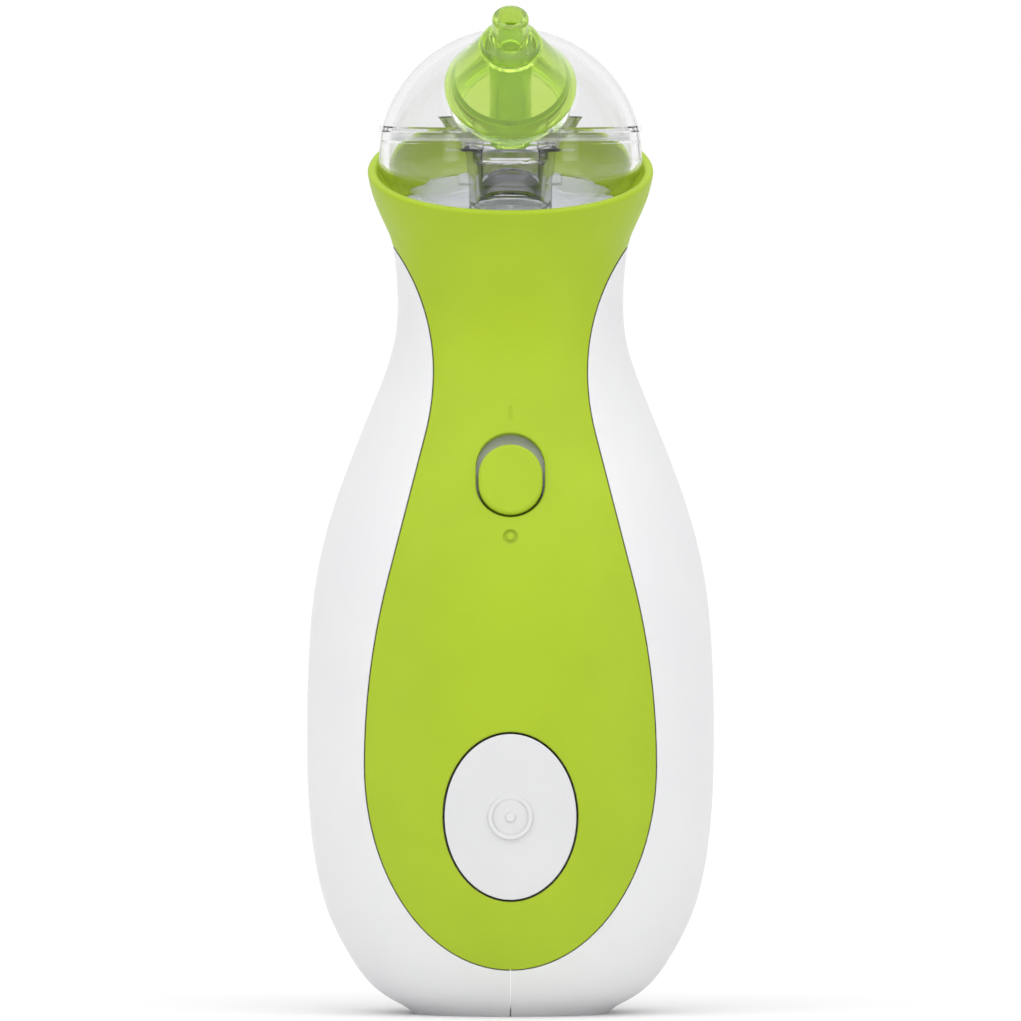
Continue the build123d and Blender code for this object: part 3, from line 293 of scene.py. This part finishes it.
def circuit(name):
    """Solder mask with a grid of copper traces showing through as faint lighter lines."""
    tree = Tree(name)
    cells = tree.nodes.new("ShaderNodeTexBrick")
    black, white = (0, 0, 0, 1), (1, 1, 1, 1)
    tree.feed(cells.inputs["Scale"], 1 / (TRACE_PITCH * MM))
    tree.feed(cells.inputs["Mortar Size"], TRACE_WIDTH)
    tree.feed(cells.inputs["Color1"], black)
    tree.feed(cells.inputs["Color2"], black)
    tree.feed(cells.inputs["Mortar"], white)
    upright = tree.nodes.new("ShaderNodeMapping")
    tree.feed(upright.inputs["Rotation"], (radians(90), 0, 0))
    tree.feed(upright.inputs["Vector"], tree.place)
    tree.feed(cells.inputs["Vector"], upright.outputs["Vector"])
    routed = tree.ranged(tree.noise(4.0, 1.0), 0.0, 1.0, *TRACE_CUT)
    trace = tree.math("MULTIPLY", cells.outputs["Fac"], routed)
    mask = tree.mix(tree.drift(6.0), linear(14, 70, 42), linear(20, 88, 54))
    tree.put("Base Color", tree.mix(tree.math("MULTIPLY", trace, 0.7), mask, linear(*TRACE_COLOUR)))
    tree.put("Roughness", tree.drift(1.0, 3.0, 0.5, 0.3, 0.45))
    tree.put("Normal", tree.bump(trace, TRACE_HEIGHT, 0.5))
    return tree.material


def windings(name):
    """Enamelled copper wire laid round a steel core."""
    tree = Tree(name)
    wave = tree.nodes.new("ShaderNodeTexWave")
    wave.wave_type = "BANDS"
    wave.bands_direction = "Z"
    tree.feed(wave.inputs["Scale"], 1 / (WIRE_PITCH * MM))
    tree.feed(wave.inputs["Distortion"], WIRE_WANDER)
    tree.feed(wave.inputs["Vector"], tree.place)
    tree.put("Base Color", tree.mix(wave.outputs["Fac"], linear(150, 78, 36), linear(206, 122, 62)))
    tree.put("Metallic", 0.8)
    tree.put("Roughness", tree.drift(1.0, 3.0, 0.5, 0.28, 0.45))
    tree.put("Normal", tree.bump(wave.outputs["Fac"], WIRE_HEIGHT, 0.6))
    return tree.material


# the edge colours are painted highlights laid along sharp edges
MATERIALS = {
    "green_shell": moulded(
        "green_shell", (168, 195, 31), (162, 189, 28), rough=0.46, edge=(184, 208, 54), bevel=0.45,
        specular=0.36,
    ),
    "white_shell": moulded(
        "white_shell", (232, 232, 233), (229, 229, 231), rough=0.38, edge=(241, 241, 241), coat=0.1,
    ),
    "white_button": moulded(
        "white_button", (222, 222, 223), (218, 218, 220), rough=0.42, edge=(236, 236, 236),
    ),
    "bay_white": moulded("bay_white", (205, 205, 214), (198, 198, 208), rough=0.5),
    "clear_head": clear(
        "clear_head", (0.895, 0.897, 0.90, 1), (0.925, 0.925, 0.925, 1), linear(251, 251, 253), rough=0.015,
        ior=1.35,
    ),
    "green_clear": clear(
        "green_clear", (0.62, 0.78, 0.22, 1), (0.58, 0.76, 0.14, 1), linear(222, 242, 150), rough=0.06,
        ior=1.42, ripple=0.02, ripple_size=3.0, body=0.2,
    ),
    "soft_seal": clear(
        "soft_seal", (0.94, 0.945, 0.95, 1), (0.90, 0.91, 0.92, 1), linear(247, 247, 248), rough=0.18,
        ior=1.41, body=0.12,
    ),
    "slider_grey": moulded("slider_grey", (238, 239, 243), (232, 233, 238), rough=0.5),
    "frame_plastic": moulded("frame_plastic", (96, 98, 102), (82, 84, 88), rough=0.55),
    "board_green": circuit("board_green"),
    "black_plastic": moulded("black_plastic", (30, 30, 32), (22, 22, 24), rough=0.5, edge=(70, 70, 72)),
    "steel": metal("steel", (205, 206, 210), (176, 178, 184), rough=0.28),
    "screw_steel": metal("screw_steel", (190, 190, 194), (150, 152, 156), rough=0.34),
    "copper_core": windings("copper_core"),
    "bronze": metal("bronze", (196, 160, 96), (160, 124, 70), rough=0.4),
    "cell_jacket": cell_jacket("cell_jacket", (52, 58, 66), (196, 200, 206)),
    "black_rubber": rubbery("black_rubber", (34, 34, 35), (24, 24, 25)),
    "pump_plastic": moulded("pump_plastic", (214, 212, 204), (204, 202, 194), rough=0.5),
    "hose_silicone": rubbery("hose_silicone", (222, 226, 228), (208, 212, 216), rough=0.45),
    "wire_red": rubbery("wire_red", (176, 32, 30), (150, 24, 24), rough=0.45),
    "wire_black": rubbery("wire_black", (30, 30, 31), (20, 20, 21), rough=0.45),
}

SLOTS = {entry["node"]: entry["material_slot"] for entry in frame["record"]["subparts"]}
for node, thing in NODES.items():
    thing.data.materials.clear()
    thing.data.materials.append(MATERIALS[SLOTS[node]])

# ---------------------------------------------------------------- return spring


def return_spring():
    """The button's spring: a copy of the CAD spring with a mesh of its own, fixed to the body, with the CAD
    spring hidden.
    """
    rest = NODES["button_spring"]
    spring = bpy.data.objects.new("return_spring", rest.data.copy())
    spring.matrix_world = rest.matrix_world.copy()
    bpy.context.scene.collection.objects.link(spring)
    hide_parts("button_spring")
    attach(spring, "body")
    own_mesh(spring)


return_spring()

# ---------------------------------------------------------------- floor
FLOOR_SIDES = 48
FLOOR_RINGS = 8
FLOOR_REACH = 9.0
FLOOR_TONES = ((0.915, 0.915, 0.92, 1), (0.935, 0.935, 0.935, 1))
FLOOR_MOTTLE = 60.0            # millimetres


def pale_floor():
    """Round pale floor under the object, in rings that widen towards the horizon."""
    vertices = [(0.0, 0.0, 0.0)]
    faces = []
    for ring in range(1, FLOOR_RINGS + 1):
        radius = FLOOR_REACH * (ring / FLOOR_RINGS) ** 2
        for side in range(FLOOR_SIDES):
            turn = 2 * pi * side / FLOOR_SIDES
            vertices.append((radius * cos(turn), radius * sin(turn), 0.0))
    for side in range(FLOOR_SIDES):
        after = (side + 1) % FLOOR_SIDES
        faces.append((0, 1 + side, 1 + after))
        for ring in range(FLOOR_RINGS - 1):
            near = 1 + ring * FLOOR_SIDES
            far = near + FLOOR_SIDES
            faces.append((near + side, far + side, far + after, near + after))
    mesh = bpy.data.meshes.new("floor")
    mesh.from_pydata(vertices, [], faces)
    thing = bpy.data.objects.new("floor", mesh)
    bpy.context.scene.collection.objects.link(thing)
    tree = Tree("floor_pale")
    tree.put("Base Color", tree.mix(tree.drift(FLOOR_MOTTLE, 3.0), *FLOOR_TONES))
    tree.put("Roughness", 0.6)
    tree.put("Specular IOR Level", 0.3)
    mesh.materials.append(tree.material)


pale_floor()

# ---------------------------------------------------------------- light
AMBIENT = 0.27                 # how much of the white surroundings falls on matt surfaces
OVERHEAD = 2.72
OVERHEAD_TILT = 20.0           # towards the front
OVERHEAD_SPREAD = 100.0
STRIP_PLACE = (1.3, -0.9, 0.5)
STRIP_SIZE = (0.4, 1.0)
STRIP_POWER = 2.0
STRIP_TARGET = (0.0, 0.0, 0.08)


def studio_world():
    """White surroundings, dimmer as a light than they look."""
    world = bpy.data.worlds.new("studio")
    bpy.context.scene.world = world
    world.use_nodes = True
    nodes = world.node_tree.nodes
    links = world.node_tree.links
    path = nodes.new("ShaderNodeLightPath")
    level = nodes.new("ShaderNodeMapRange")
    level.inputs["To Min"].default_value = 1.0
    level.inputs["To Max"].default_value = AMBIENT
    links.new(path.outputs["Is Diffuse Ray"], level.inputs["Value"])
    nodes["Background"].inputs["Color"].default_value = (1.0, 1.0, 1.0, 1.0)
    links.new(level.outputs["Result"], nodes["Background"].inputs["Strength"])


def place_lamp(lamp, place, target):
    thing = bpy.data.objects.new(lamp.name, lamp)
    thing.location = place
    thing.rotation_euler = (Vector(target) - Vector(place)).to_track_quat("-Z", "Y").to_euler()
    bpy.context.scene.collection.objects.link(thing)


def overhead_light():
    lamp = bpy.data.lights.new("overhead", "SUN")
    lamp.energy = OVERHEAD
    lamp.angle = radians(OVERHEAD_SPREAD)
    place_lamp(lamp, (0, -sin(radians(OVERHEAD_TILT)), cos(radians(OVERHEAD_TILT))), (0, 0, 0))


def strip(name, side):
    """Tall softbox to the front left (side -1) or right (side 1)."""
    lamp = bpy.data.lights.new(name, "AREA")
    lamp.shape = "RECTANGLE"
    lamp.size, lamp.size_y = STRIP_SIZE
    lamp.energy = STRIP_POWER
    place_lamp(lamp, (side * STRIP_PLACE[0], STRIP_PLACE[1], STRIP_PLACE[2]), STRIP_TARGET)


studio_world()
overhead_light()
strip("left_strip", -1)
strip("right_strip", 1)

# ---------------------------------------------------------------- camera
SENSOR = 36.0
DISTANCE = 3.0
ELEVATION = 1.2
FRAME_HEIGHT = 0.1460          # height in view at the object
AIM = Vector((0.0, 0.0, 0.0719))
CLIP = (0.1, 30.0)
eye = bpy.data.cameras.new("front_view")
eye.sensor_width = SENSOR
eye.lens = SENSOR * DISTANCE / FRAME_HEIGHT
eye.clip_start, eye.clip_end = CLIP
viewer = bpy.data.objects.new("front_view", eye)
viewer.location = AIM + Vector((0.0, -cos(radians(ELEVATION)), sin(radians(ELEVATION)))) * DISTANCE
viewer.rotation_euler = (AIM - viewer.location).to_track_quat("-Z", "Y").to_euler()
bpy.context.scene.collection.objects.link(viewer)
bpy.context.scene.camera = viewer
bpy.context.scene.view_settings.view_transform = "Standard"
